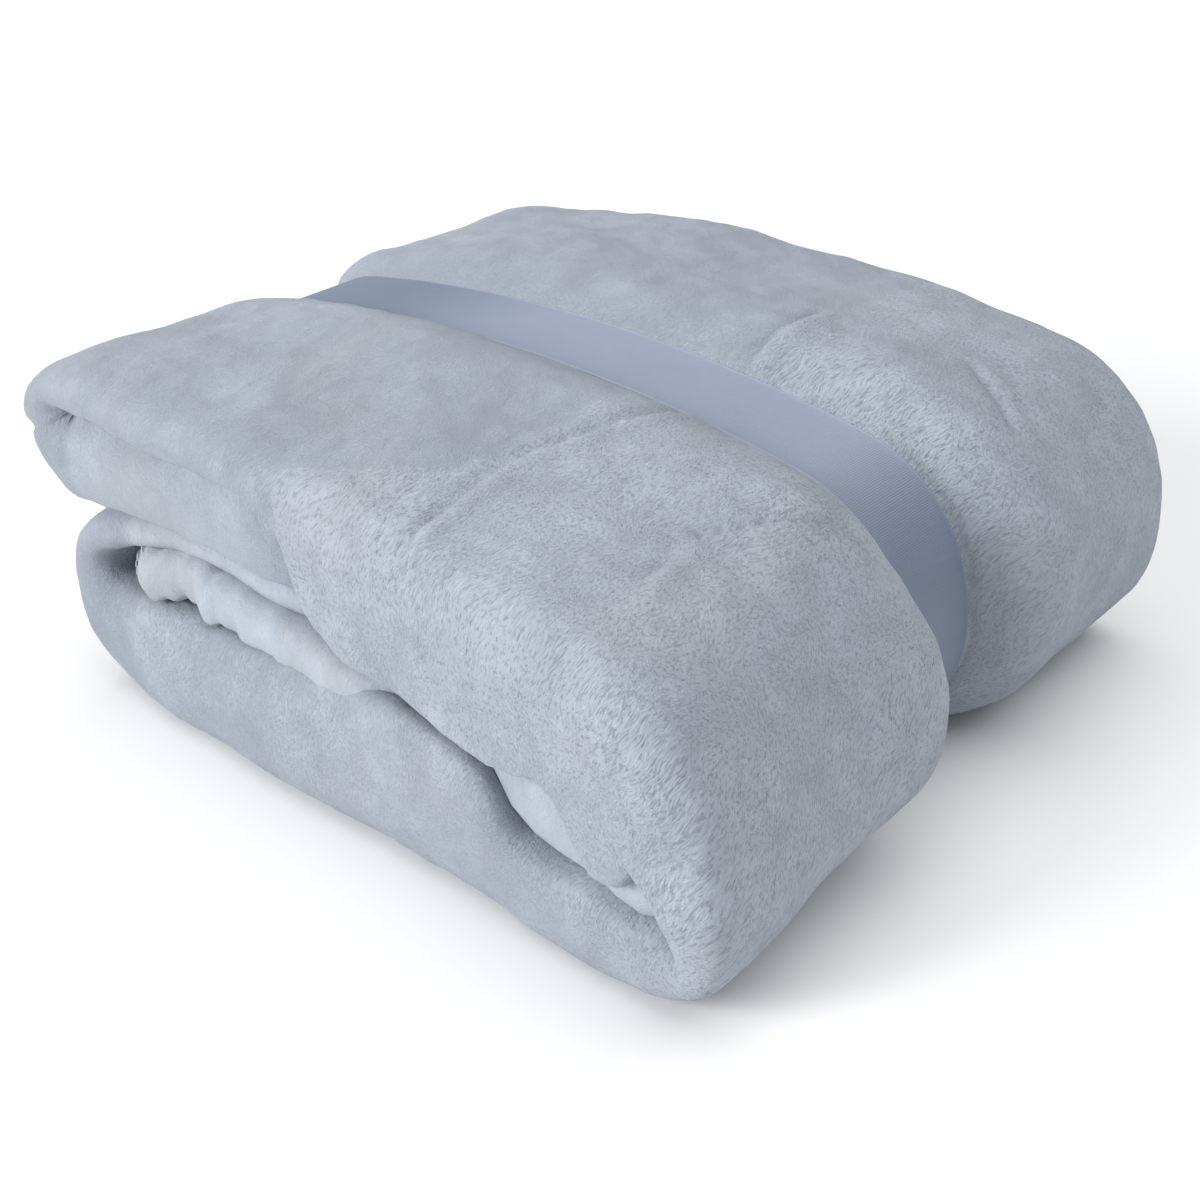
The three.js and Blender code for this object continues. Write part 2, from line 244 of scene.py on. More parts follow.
# heights of the front rims along X: the lower rim of the top layer's hanging front edge, the rounded top
# of the bottom layer, which puffs up in the middle, and the core fold, which is squeezed out of the gap
# between the two in two rounded tongues
frontRims = {
    "flapX": (-26, -5, 13, 34, 58, 76, 99, 114, 126, 138, 146, 150, 153, 156, 159, 165, 172, 180, 187, 192),
    "flapZ": (156, 150, 110, 103, 105, 103, 102, 98, 102, 110, 103, 93, 84, 77, 73, 74, 77, 82, 82, 62),
    "bottomX": (-168, -60, -30, 30, 57, 96, 108, 113, 118, 128, 140, 155, 162, 176, 187, 192),
    "bottomZ": (64, 70, 74, 87, 96, 96, 92, 83, 64, 56, 54, 57, 54, 50, 48, 50),
    "flapStart": (-20, 8), "flapRadius": 3.8, "flapCorner": 30,
    "flapShares": (0.3, 0.5, 0.8),                          # where the flap's rim, face and corner start
    "stretchStart": 40, "wrapTip": 144, "pocketEnd": 192,   # where the rows of top and wrap reach along X
    "bottomShare": 0.3, "wrapFade": (0.38, 0.63),           # shares of the wrap, from bottom to top
    "turnRise": 4, "puffDepth": 45,
    "tongueX": (95, 107, 112, 117, 124, 135, 147, 152, 158, 164, 172, 180, 188),
    "tongueTop": (96, 98, 100, 102, 108, 114, 110, 100, 84, 82, 86, 90, 88),
    "tongueBottom": (84, 84, 78, 66, 56, 53, 54, 57, 57, 53, 49, 50, 57),
    "tongueStart": 92, "tongueReach": 30, "tongueSetback": 6,
    "tongueFade": (70, 100), "tongueShown": (84, 98),
    "hiddenSetback": 25, "hiddenFrom": (-20, 4), "coreHiddenFrom": (38, 62),
}

# the hem makes the front of the core ripple near its cut end
hemRipple = {
    "long": 15, "short": 8.7, "noise": ((1.3, 11, 81),),
    "reach": 95, "outward": 3.2, "upward": 2.1,
}

# fullness of the pack: middle, spread and move of each swell
swells = (
    ((-180, -155, 160), (55, 50, 60), (0, 0, 9)),     # top, front left
    ((-185, -70, 165), (50, 35, 50), (0, 0, -2)),
    ((-205, 110, 125), (50, 70, 55), (-13, 0, 0)),    # back, left end
    ((-205, 54, 125), (50, 32, 50), (-24, 0, 0)),
    ((-205, 85, 165), (60, 60, 50), (0, 0, -9)),
    ((205, 110, 112), (60, 70, 60), (12, 0, 3)),      # back, right end
    ((205, -100, 55), (70, 80, 50), (15, 0, 0)),      # front, right end, low
    ((-60, -178, 25), (110, 50, 40), (0, -8, 0)),     # bottom layer, front
    ((-40, -62, 170), (80, 26, 60), (0, 0, 3)),       # along the ribbon's near edge
    ((120, -62, 150), (90, 26, 60), (2, 0, 4)),
    ((120, 62, 150), (90, 26, 60), (2, 0, 4)),
    ((200, -56, 95), (50, 26, 60), (14, 6, 3)),       # beside the ribbon, right end
    ((200, 58, 85), (50, 26, 75), (9, -8, 2)),
    ((198, -46, 112), (24, 16, 28), (5, 8, 2)),
)

# folds pressed into the top: from and to in plan, depth and half width
creases = (
    ((77, -186), (71, -112), 2.2, 2.6),
    ((71, -112), (94, -30), 2.6, 2.6),
    ((73, 30), (79, 82), 2.4, 2.6),
    ((166, -162), (157, -115), 2.0, 2.6),
    ((157, -115), (187, -56), 2.6, 2.6),
    ((190, 70), (150, 95), 1.4, 3.4),
)
pressing = {
    "wobble": ((3.5, 30, 61),), "lip": 0.55, "paintedShade": 1.5, "breaks": ((0.4, 12, 62),),
    "ribbonEdgeShadow": (28, 2.6),      # place along Y and half width of the painted shadow beside the ribbon's far edge
}

# how far each layer's rim stands behind the front, and how far its outer and inner face spread there
layerRims = {
    "core": (5, 8, 10), "coreTurn": (8, 3, 8), "cover": (16, -6, 4), "lowerTurn": (3, -3, 4),
    "bottom": (0, 0, 0), "wrap": (0, 0, 0), "top": (0, 0, 8), "upperTurn": (2, -6, 8), "tuck": (4, -11, 8),
}
# squareness of each rim at its inner and its outer side: 1 is round, less is flatter
rimSquareness = {"bottom": (0.34, 0.55), "wrap": (0.5, 0.5), "lowerTurn": (0.6, 0.6), "core": (0.8, 0.45),
                 "coreTurn": (0.8, 0.45), "plain": (0.85, 0.85)}


def layerFaces():
    faces = []
    level = 0
    for thickness in fold["layers"]:
        low = level + (fold["gap"] / 2 if level else 0)
        level += thickness
        faces.append((low, level - fold["gap"] / 2))
    faces[-1] = (faces[-1][0], level)
    return faces


packHeight = sum(fold["layers"])


def sheetPath():
    # ribs across the layered cloth, from its cut end in the core outwards, always turning the same way
    bottom, core, cover, tuck, top = layerFaces()
    wrapReach = fold["wrapReach"]
    wrapX = fold["length"] / 2 - wrapReach
    coreTurnX = wrapX - fold["coreTurnSetback"]
    lowerX = -fold["length"] / 2 + fold["lowerSetback"] + fold["lowerReach"]
    upperX = -fold["length"] / 2 + fold["upperReach"]
    coreEndX, tuckEndX = lowerX + fold["coreEndInset"], wrapX - fold["tuckEndInset"]
    outer, inner, names, along = [], [], [], []

    def add(name, outerPoints, innerPoints, share):
        outer.append(outerPoints)
        inner.append(innerPoints)
        names.extend([name] * len(share))
        along.append(share)

    def run(name, fromX, toX, outerZ, innerZ, spacing):
        count = max(4, int(abs(toX - fromX) / spacing))
        share = np.arange(1, count) / count
        x = fromX + (toX - fromX) * share
        outerPoints, innerPoints = (np.stack([x, np.full_like(x, z)], -1) for z in (outerZ, innerZ))
        add(name, outerPoints, innerPoints, share)

    def turn(name, x, side, outerReach, outerZ, innerReach, innerZ, lean=0, dent=0):
        count = fold["turnSteps"][name]
        angle = side * math.pi / 2 + np.linspace(0, math.pi, count)
        across, up = np.cos(angle), np.sin(angle)
        across = np.sign(across) * np.abs(across) ** fold["boxiness"]
        up = np.sign(up) * np.abs(up) ** fold["boxiness"]
        outerAcross = across * (1 + lean * up) * (1 - dent * bump(up, 0.12, 0.16))
        innerAcross = across * (1 + lean * up)
        points = []
        for reach, levels, shape in ((outerReach, outerZ, outerAcross), (innerReach, innerZ, innerAcross)):
            middle, half = sum(levels) / 2, abs(levels[1] - levels[0]) / 2
            points.append(np.stack([x + reach * shape, middle + half * up], -1))
        add(name, points[0], points[1], np.linspace(0, 1, count))

    medium, fine = fold["medium"], fold["fine"]
    add("core", np.array([[coreEndX, core[0]]]), np.array([[coreEndX, core[1]]]), np.array([0.0]))
    run("core", coreEndX, coreTurnX, core[0], core[1], medium)
    turn("coreTurn", coreTurnX, -1, fold["coreTurnReach"], (core[0], cover[1]), fold["gap"] / 2,
         (core[1], cover[0]))
    run("cover", coreTurnX, lowerX, cover[1], cover[0], medium)
    turn("lowerTurn", lowerX, 1, fold["lowerReach"], (cover[1], bottom[0]), fold["pocketReach"],
         (cover[0], bottom[1]))
    run("bottom", lowerX, wrapX, bottom[0], bottom[1], fold["bottomSpacing"])
    turn("wrap", wrapX, -1, wrapReach, (bottom[0], top[1]), wrapReach - fold["wrapThickness"],
         (bottom[1], top[0]))
    run("top", wrapX, upperX, top[1], top[0], fine)
    turn("upperTurn", upperX, 1, fold["upperReach"], (top[1], tuck[0]), fold["gap"] / 2, (top[0], tuck[1]),
         fold["upperLean"], fold["upperDent"])
    run("tuck", upperX, tuckEndX, tuck[0], tuck[1], medium)
    add("tuck", np.array([[tuckEndX, tuck[0]]]), np.array([[tuckEndX, tuck[1]]]), np.array([1.0]))
    return np.concatenate(outer), np.concatenate(inner), np.array(names), np.concatenate(along)


def shapePack(points):
    # the square, level pack becomes the crowned one, with a waist under the ribbon and a slumped corner
    x, y, z = points[..., 0], points[..., 1], points[..., 2]
    half = fold["length"] / 2
    centre = fold["crownCentre"]
    side = (x - centre) / (half - centre * np.sign(x - centre))
    drop = np.where(side < 0, fold["crownDropLeft"], fold["crownDropRight"])
    rim = np.abs(y) / (fold["width"] / 2)
    crown = 1 - drop * side ** 2 - fold["crownDropRim"] * rim ** 4
    waist = (1 - np.clip((np.abs(y) - fold["ribbonBed"]) / fold["waistSlope"], 0, 1)) ** 2.6
    waistRight = fold["waistRight"] + fold["waistRightLow"] * (1 - smoothStep(z, 10, 90))
    waistSide = np.where(x < 0, fold["waistLeft"], waistRight)
    share = z / packHeight
    height = z * crown - fold["waistTop"] * waist * share + fold["waistBottom"] * waist * (1 - share)
    forward = smoothStep(-y, fold["ribbonBed"], fold["width"] / 2)

    def slump(start):
        return smoothStep(x / fold["length"], start, 0.5) * forward

    newX = x * (1 - waistSide * waist / half) + fold["sideSlump"] * slump(fold["sideSlumpStart"])
    lowFront = 0.55 + 0.45 * smoothStep(z, 0, 90)
    newY = y - fold["frontSlump"] * slump(fold["frontSlumpStart"]) * lowFront
    return np.stack([newX, newY, height], -1)


def acrossColumns():
    # name and share of each column of the sheet's four plies and three turns, from long edge to long edge
    columns = []

    def ply(name, spacing):
        count = int(fold["width"] / spacing)
        for k in range(1, count):
            columns.append((name, k / count))

    def turnOver(name):
        count = fold["plySteps"][name]
        for k in range(count + 1):
            columns.append((name, k / count))

    columns.append(("ply0", 0.0))
    ply("ply0", fold["coarse"])
    turnOver("rim")
    ply("ply3", fold["fine"])
    turnOver("backTurn")
    ply("ply2", fold["coarse"])
    turnOver("innerRim")
    ply("ply1", fold["coarse"])
    columns.append(("ply1", 1.0))
    return np.array([name for name, share in columns]), np.array([share for name, share in columns])


def flapAmount(names, along, x):
    # 0 where a layer has its plain rim, 1 where its front edge hangs down
    amount = np.zeros(len(x))
    top, wrap = names == "top", names == "wrap"
    amount[top] = smoothStep(x[top], *frontRims["flapStart"])
    amount[wrap] = smoothStep(along[wrap], *frontRims["wrapFade"])
    return amount


def flapTips(names, along, x):
    # where the lower rim of the hanging edge lies for each row of the cloth
    top, wrap = names == "top", names == "wrap"
    wrapX = fold["length"] / 2 - fold["wrapReach"]
    wrapTip, pocketEnd = frontRims["wrapTip"], frontRims["pocketEnd"]
    tipX = x.copy()
    tipX[top] = np.interp(x[top], (x.min(), frontRims["stretchStart"], wrapX),
                          (x.min(), frontRims["stretchStart"], wrapTip))
    tipX[wrap] = np.interp(along[wrap], (0, frontRims["bottomShare"], 1), (wrapX, pocketEnd, wrapTip))
    flapZ = np.interp(tipX, frontRims["flapX"], frontRims["flapZ"])
    bottomZ = np.interp(tipX, frontRims["bottomX"], frontRims["bottomZ"])
    return np.stack([tipX, np.where(wrap & (along <= frontRims["bottomShare"]), bottomZ, flapZ)], -1)


def rimSpread(names, along, outer, inner, tips):
    # how far the outer and inner face of each row move at the front, in X and Z
    table = np.array([layerRims[name] for name in names], float)
    spread = np.zeros((2, len(names), 2))
    spread[0, :, 1], spread[1, :, 1] = table[:, 1], table[:, 2]

    def fade(name, fromLayer, toLayer):
        rows = names == name
        share = smoothStep(along[rows])
        for face in (0, 1):
            first, last = layerRims[fromLayer][face + 1], layerRims[toLayer][face + 1]
            spread[face, rows, 1] = first + (last - first) * share

    fade("coreTurn", "core", "cover")
    fade("lowerTurn", "cover", "bottom")
    fade("upperTurn", "top", "tuck")
    bottom, lower, wrap = names == "bottom", names == "lowerTurn", names == "wrap"
    rise = np.interp(inner[:, 0], frontRims["bottomX"], frontRims["bottomZ"]) - fold["layers"][0]
    spread[1, bottom, 1] = rise[bottom]
    spread[1, lower, 1] += smoothStep(along[lower]) * frontRims["turnRise"]
    plain = 1 - smoothStep(along[wrap], *frontRims["wrapFade"])
    spread[1, wrap] = (tips[wrap] - inner[wrap]) * plain[:, None]
    for face, line in enumerate((outer, inner)):
        tongue = np.isin(names, ["core", "coreTurn", "cover"]) & (line[:, 0] > frontRims["tongueFade"][0])
        target, share = tonguePlace(line[tongue])
        spread[face, tongue] += (target - line[tongue] - spread[face, tongue]) * share[:, None]
    return spread


def tonguePlace(line):
    # where the core fold and the cover go at the front, and how far they go there
    core, cover = layerFaces()[1:3]
    fullReach = fold["length"] / 2 - fold["wrapReach"] - fold["coreTurnSetback"] + fold["coreTurnReach"]
    x = line[:, 0] + frontRims["tongueReach"] * smoothStep(line[:, 0], frontRims["tongueStart"], fullReach)
    share = np.interp(line[:, 1], (core[0], core[1], cover[0], cover[1]), (0, 0.86, 0.88, 1))
    low = np.interp(x, frontRims["tongueX"], frontRims["tongueBottom"])
    high = np.interp(x, frontRims["tongueX"], frontRims["tongueTop"])
    return np.stack([x, low + (high - low) * share], -1), smoothStep(line[:, 0], *frontRims["tongueFade"])


def foldedSheet():
    outer, inner, names, along = sheetPath()
    columnNames, shares = acrossColumns()
    pitch = np.linalg.norm(inner - outer, axis=1) / 4
    middle = (outer + inner) / 2
    pathLength = lengthsAlong(middle)
    drape = flapAmount(names, along, outer[:, 0])
    tips = flapTips(names, along, outer[:, 0])
    spread = rimSpread(names, along, outer, inner, tips)
    spread[1, names == "top"] *= (1 - drape[names == "top"])[:, None]

    # front and back edge of each layer wander a little along its length
    steady = np.stack([pathLength, np.zeros_like(pathLength), np.zeros_like(pathLength)], -1)
    front = -fold["width"] / 2 + layeredNoise(steady, fold["frontWander"])
    back = fold["width"] / 2 - fold["backInset"] + layeredNoise(steady, fold["backWander"])
    x = middle[:, 0]
    setback = np.array([layerRims[name][0] for name in names], float)
    hidden = np.isin(names, ["tuck", "cover", "coreTurn"]) * smoothStep(x, *frontRims["hiddenFrom"])
    hidden = hidden + (names == "core") * smoothStep(x, *frontRims["coreHiddenFrom"])
    shown = np.isin(names, ["coreTurn", "core"]) * smoothStep(x, *frontRims["tongueShown"])
    setback = setback + (frontRims["hiddenSetback"] - setback) * hidden
    setback = setback + (frontRims["tongueSetback"] - setback) * shown
    front = front + softened(setback[:, None], fold["smoothRows"])[:, 0]

    squareness = np.array([rimSquareness.get(name, rimSquareness["plain"]) for name in names])
    squareness = softened(squareness, fold["smoothRows"])
    rimReach = np.minimum(1.35 * pitch + 3, fold["deepestRim"])
    innerReach = 0.5 * pitch + 1
    cloth = fold["clothThickness"]
    innerFront = front + cloth + fold["innerRimGap"] + innerReach
    # the outer and inner ply lie against the faces of the layer, the other two between them
    faceShare = np.minimum(cloth / 2 / (4 * pitch), 0.2)
    plyShares = [faceShare + (1 - 2 * faceShare) * k / 3 for k in range(4)]
    p3, p2, p1, p0 = [outer + (inner - outer) * share[:, None] for share in plyShares]
    w0 = np.linalg.norm(p0 - p3, axis=1)
    hang = np.linalg.norm(tips - p0, axis=1)
    depth = w0 + hang * drape
    rimY = front + rimReach

    fromEnd = x - x[0]
    waves = 0.6 * np.sin(fromEnd / hemRipple["long"] * 2 * math.pi + 0.6)
    waves += 0.4 * np.sin(fromEnd / hemRipple["short"] * 2 * math.pi)
    waves += layeredNoise(steady, hemRipple["noise"])
    ripple = (names == "core") * bump(fromEnd, 0, hemRipple["reach"]) * waves
    points = np.zeros((len(names), len(shares), 3))
    for c, (name, share) in enumerate(zip(columnNames, shares)):
        turned = (1 - math.cos(math.pi * share)) / 2
        if name == "ply0":
            y, xz, across = back + (rimY - back) * share, p0, plyShares[3]
        elif name == "ply3":
            y, xz, across = rimY + (back - 0.5 * pitch - rimY) * share, p3, plyShares[0]
        elif name == "backTurn":
            y = back - 0.5 * pitch * (1 - math.sin(math.pi * share))
            xz, across = p3 + (p2 - p3) * turned, plyShares[0] + turned * (plyShares[1] - plyShares[0])
        elif name == "ply2":
            y, xz, across = back - 0.5 * pitch + (innerFront - back + 0.5 * pitch) * share, p2, plyShares[1]
        elif name == "innerRim":
            y = innerFront - innerReach * math.sin(math.pi * share)
            xz, across = p2 + (p1 - p2) * turned, plyShares[1] + turned * (plyShares[2] - plyShares[1])
        elif name == "ply1":
            y = innerFront + (back - fold["cutEdgeInset"] - innerFront) * share
            xz, across = p1, plyShares[2]
        else:
            y, w = rimPoint(share, front, rimY, w0, depth, drape, squareness)
            inside = (np.minimum(w, w0) / w0)[:, None]
            below = (np.maximum(w - w0, 0) / np.maximum(hang, 1e-6))[:, None]
            xz = p3 + (p0 - p3) * inside + (tips - p0) * below
            across = plyShares[0] + inside[:, 0] * (plyShares[3] - plyShares[0])
        near = 1 - smoothStep(y - front, 0, frontRims["puffDepth"])
        moved = spread[0] * (1 - across)[:, None] + spread[1] * across[:, None]
        points[:, c, 0] = xz[:, 0] + moved[:, 0] * near
        points[:, c, 1] = y + hemRipple["outward"] * ripple * near
        points[:, c, 2] = xz[:, 1] + (moved[:, 1] + hemRipple["upward"] * ripple) * near
    return points, names, columnNames, pathLength[-1]


def rimPoint(share, front, rimY, w0, depth, drape, squareness):
    # a point of the rim that joins the innermost ply, at depth w0, to the outermost, at depth 0
    angle = math.pi * share
    plainY = rimY - (rimY - front) * max(math.sin(angle), 0) ** squareness[:, 0 if share < 0.5 else 1]
    plainW = w0 * (1 + math.cos(angle)) / 2
    radius = frontRims["flapRadius"]
    corner = np.minimum(frontRims["flapCorner"], 0.6 * depth)
    rimStart, faceStart, cornerStart = frontRims["flapShares"]
    if share < rimStart:  # down behind the hanging face
        t = share / rimStart
        hangY = front + 2 * radius + (rimY - front - 2 * radius) * (1 - smoothStep(t, 0, 0.4))
        hangW = w0 + (depth - radius - w0) * t ** 1.2
    elif share < faceStart:  # the lower rim
        turn = (share - rimStart) / (faceStart - rimStart) * math.pi
        hangY = front + radius + radius * math.cos(turn)
        hangW = depth - radius + radius * math.sin(turn)
    elif share < cornerStart:  # up the face
        hangY = front
        hangW = depth - radius + (corner - depth + radius) * (share - faceStart) / (cornerStart - faceStart)
    else:  # over the corner to the top
        turn = (share - cornerStart) / (1 - cornerStart) * math.pi / 2
        hangY = front + (rimY - front) * (1 - math.cos(turn))
        hangW = corner * (1 - math.sin(turn))
    return plainY + (hangY - plainY) * drape, plainW + (hangW - plainW) * drape


def swell(points):
    # nothing swells under the ribbon, and nothing rises off the floor
    moved = points.copy()
    besideRibbon = smoothStep(np.abs(points[..., 1]), *fold["swellFade"])
    lifted = smoothStep(points[..., 2], 0, fold["floorFade"])
    for middle, spread, move in swells:
        near = besideRibbon * np.exp(-(((points - np.array(middle)) / np.array(spread)) ** 2).sum(-1))
        for axis in range(3):
            moved[..., axis] += near * move[axis] * (lifted if axis == 2 else 1)
    return moved


def wander(points):
    # the whole pack is a little uneven, but level on the floor and under the ribbon
    underRibbon = fold["wanderUnderRibbon"]
    free = underRibbon + (1 - underRibbon) * smoothStep(np.abs(points[..., 1]), *fold["wanderFade"])
    lifted = smoothStep(points[..., 2], 0, fold["floorFade"])
    moved = points.copy()
    for axis, layers in enumerate(fold["bodyWander"]):
        moved[..., axis] += layeredNoise(points, layers) * free * (lifted if axis == 2 else 1)
    return moved


print("folding the sheet")
flatPoints, rowNames, columnNames, foldLength = foldedSheet()


def surfaceNormals(points):
    return unit(np.cross(np.gradient(points, axis=0), np.gradient(points, axis=1)))


def closedSheet(name, points, thickness):
    # a thick sheet about a grid of points; thickness is one number or one for each point
    rows, columns = points.shape[:2]
    half = surfaceNormals(points) * np.broadcast_to(thickness, (rows, columns))[..., None] / 2
    upper, lower = points + half, points - half
    count = rows * columns
    faces = [gridFaces(rows, columns)[:, ::-1], gridFaces(rows, columns, count)]
    border = np.concatenate([
        np.arange(columns), np.arange(1, rows) * columns + columns - 1,
        (rows - 1) * columns + np.arange(columns - 2, -1, -1), np.arange(rows - 2, 0, -1) * columns])
    after = np.roll(border, -1)
    faces.append(np.stack([border, after, after + count, border + count], -1))
    return addMesh(name, np.stack([upper, lower]), np.concatenate(faces))


ruffle = {
    "start": 70, "slant": 0.09, "frontStart": 2, "frontEdge": (140, 180), "fade": 7,
    "wobble": ((7, 26, 71), (3, 9, 72)), "elsewhere": 0.5, "rightEnd": (60, 120),
}

plush = {
    "nap": (0.43, 0.475, 0.545),        # pile that lies towards the light
    "against": (0.30, 0.335, 0.395),    # pile stroked the other way
    "shadeDark": (0.20, 0.225, 0.27),        # painted shade between two tufts and in creases
    "warm": (0.43, 0.43, 0.44),
    "bright": (0.50, 0.56, 0.64),       # strokes where the flat nap was brushed the other way
    "patch": 0.055, "stroke": 0.07, "smear": 0.016, "swirl": 0.045, "swirlReach": 0.02,
    "napHeading": (-0.35, -0.65, -0.67),
    "fibre": 0.0006, "fibreStretch": 5, "tuft": 0.0013, "tuftStretch": 3.2,
    "relief": 0.0017,
}


def alongHeading(place, heading, stretch):
    # squeezes the place along a heading, so that noise on it comes out as streaks that way
    length = Vector(heading).length
    heading = tuple(value / length for value in heading)
    reach = place.vector("DOT_PRODUCT", place, heading, 1)
    slip = reach.node("ShaderNodeVectorMath", {"operation": "SCALE"},
                      {0: heading, "Scale": reach * (1 / stretch - 1)})
    return place.vector("ADD", place, slip)


def swirled(place, size, reach):
    # moves the place about by a soft noise, so that streaks bend
    colour = place.noise(size, out=1)
    centred = place.vector("SUBTRACT", colour, (0.5, 0.5, 0.5))
    return place.vector("ADD", place, place.vector("MULTIPLY", centred, (reach, reach, reach)))


def plushFleece():
    material, place, shader = newMaterial("plushFleece", {
        "Sheen Weight": 0.45, "Sheen Roughness": 0.4, "Sheen Tint": (0.9, 0.94, 1, 1),
        "Specular IOR Level": 0.15})
    bent = swirled(place, plush["swirl"], plush["swirlReach"])
    heading = plush["napHeading"]
    fibres = alongHeading(bent, heading, plush["fibreStretch"]).noise(plush["fibre"], 3, 0.6)
    tufts = alongHeading(bent, heading, plush["tuftStretch"]).noise(plush["tuft"], 3, 0.6)
    patches = bent.noise(plush["patch"], 3, 0.6).step(0.42, 0.58)
    smears = bent.noise(plush["smear"], 3, 0.6).step(0.38, 0.62)
    ruffled, inner, paintedShade = place.painted("ruffled"), place.painted("inner"), place.painted("paintedShade")
    ruffled = ruffled * (0.6 + 0.4 * place.noise(0.05, 2).step(0.4, 0.6))
    # painted shade between the tufts, stronger where the pile is ruffled
    tuftShade = tufts.step(0.50, 0.34) * (0.1 + 0.9 * ruffled)
    lay = 0.5 + (patches - 0.5) * 0.16 + (smears - 0.5) * (0.1 + 0.2 * ruffled) + (fibres - 0.5) * 2.6
    lay = lay + (tufts - 0.5) * (0.5 + 2.4 * ruffled) + (ruffled - 0.5) * 0.75 + inner * 0.9
    colour = lay.mixed(plush["against"], plush["nap"])
    strokes = bent.noise(plush["stroke"], 3, 0.6).step(0.52, 0.62) * (1.0 - ruffled)
    colour = (strokes * 0.18).mixed(colour, plush["bright"])
    colour = (tuftShade * 0.46).mixed(colour, plush["shadeDark"])
    # painted shade along the bottom of the creases and along the ribbon's far edge
    colour = (paintedShade * 0.55).mixed(colour, plush["shadeDark"])
    colour = (inner * 0.45).mixed(colour, plush["bright"])
    warmth = place.noise(0.1, 2).step(0.54, 0.7) * 0.2 + inner * place.noise(0.05, 2).step(0.42, 0.6) * 0.35
    colour = warmth.mixed(colour, plush["warm"])
    height = tufts * (0.25 + 0.75 * ruffled) + fibres * 0.6 + smears * 0.3
    finish(shader, colour, 0.8 + smears * 0.15, height, plush["relief"], 0.95)
    return material


def pressedRelief(points, upward):
    # how far the cloth's surface is moved by its dimples and creases, and how dark the painted shade along
    # the bottom of each crease is
    relief = layeredNoise(points, fold["dimples"])
    creaseShade = np.zeros_like(relief)
    onTop = smoothStep(np.abs(upward), 1 / 3, 2 / 3) * (points[..., 2] > 100)
    for start, end, depth, halfWidth in creases:
        heading = np.array(end, float) - np.array(start, float)
        place = points[..., :2] - np.array(start, float)
        along = (place @ heading) / (heading @ heading)
        offset = (place[..., 0] * heading[1] - place[..., 1] * heading[0]) / np.linalg.norm(heading)
        offset = offset + layeredNoise(points, pressing["wobble"])
        inside = smoothStep(along * 6 + 0.5) * smoothStep((1 - along) * 6 + 0.5)
        lip = pressing["lip"] * bump(offset, 2.2 * halfWidth, 1.3 * halfWidth)
        pinched = bump(offset, 0, halfWidth) - lip
        relief -= depth * pinched * inside * onTop * np.sign(upward)
        broken = 0.6 + layeredNoise(points, pressing["breaks"])
        # a painted shade along the bottom of the crease, broken in places
        creaseShade = np.maximum(creaseShade, bump(offset, 0, pressing["paintedShade"]) * inside * onTop * broken)
    return relief * smoothStep(np.abs(points[..., 1]), *fold["dimpleFade"]), creaseShade


def ruffledShare(points):
    # the pile is ruffled to the right of the first crease and on the hanging edge, and lies flat elsewhere
    x, y = points[..., 0], points[..., 1]
    wavy = x + layeredNoise(points, ruffle["wobble"])
    atFront = smoothStep(-y, *ruffle["frontEdge"])
    startX = (ruffle["start"] + ruffle["slant"] * y) * (1 - atFront) + ruffle["frontStart"] * atFront
    outside = np.isin(columnNames, ["ply3", "rim"])[None, :] & np.isin(rowNames, ["top", "wrap"])[:, None]
    share = smoothStep(wavy - startX, 0, ruffle["fade"]) * outside
    share = np.maximum(share, ruffle["elsewhere"] * smoothStep(wavy, *ruffle["rightEnd"]))
    return np.maximum(share, ruffle["elsewhere"] * (rowNames == "bottom")[:, None])


def sewnSheet(shaped):
    # the cloth with its relief, a little thinner at its cut edges where the hem presses it
    normals = surfaceNormals(shaped)
    relief, creaseShade = pressedRelief(shaped, normals[..., 2])
    points = shaped + normals * relief[..., None]
    points[..., 2] = np.maximum(points[..., 2], fold["clothThickness"] / 2 + fold["floorGap"])
    thickness = np.full(points.shape[:2], fold["clothThickness"] * fold["pressedEdge"])
    thickness[1:-1, 1:-1] = fold["clothThickness"]
    piece = closedSheet("fleeceSheet", points, thickness)

    # a painted shadow along the ribbon's far edge at the right end, where the ribbon stands above the cloth
    ribbonEdgeShadow = bump(points[..., 1], *pressing["ribbonEdgeShadow"]) * smoothStep(points[..., 0], 130, 180)
    innerLayers = 0.3 * (rowNames == "tuck") + np.isin(rowNames, ["core", "cover", "coreTurn"])
    paint(piece, "ruffled", np.stack([ruffledShare(points)] * 2))
    # the painted shade of the creases and of the ribbon's far edge, which the material darkens by
    paint(piece, "paintedShade", np.stack([np.maximum(creaseShade, ribbonEdgeShadow)] * 2))
    paint(piece, "inner", np.tile(np.repeat(innerLayers, len(columnNames)), 2))
    piece.data.materials.append(plushFleece())
    return piece, points, normals


sheet, sheetPoints, sheetNormals = sewnSheet(wander(shapePack(swell(flatPoints))))
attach(sheet, "blanket")
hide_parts("fleece_sheet")

hem = {
    "thread": 0.42, "clearance": 0.25, "pitch": 3.2, "reach": 5.5, "standOff": 0.9, "spread": 0.5,
    "perTurn": 9, "sides": 5,
    "colour": (0.36, 0.40, 0.47), "light": (0.46, 0.50, 0.57),
}


def hemMaterial():
    material, place, shader = newMaterial("overlockThread", {
        "Specular IOR Level": 0.3, "Sheen Weight": 0.2})
    twist = place.noise(0.0012, 2, 0.6)
    colour = twist.step(0.3, 0.7).mixed(hem["colour"], hem["light"])
    finish(shader, colour, 0.55 + twist * 0.2, twist, 0.0003, 0.7)
    return material


hemThreadMaterial = hemMaterial()


def resampled(line, spacing):
    lengths = lengthsAlong(line)
    count = max(2, int(round(lengths[-1] / spacing)) + 1)
    places = np.linspace(0, lengths[-1], count)
    return np.stack([np.interp(places, lengths, line[:, axis]) for axis in range(line.shape[1])], -1)


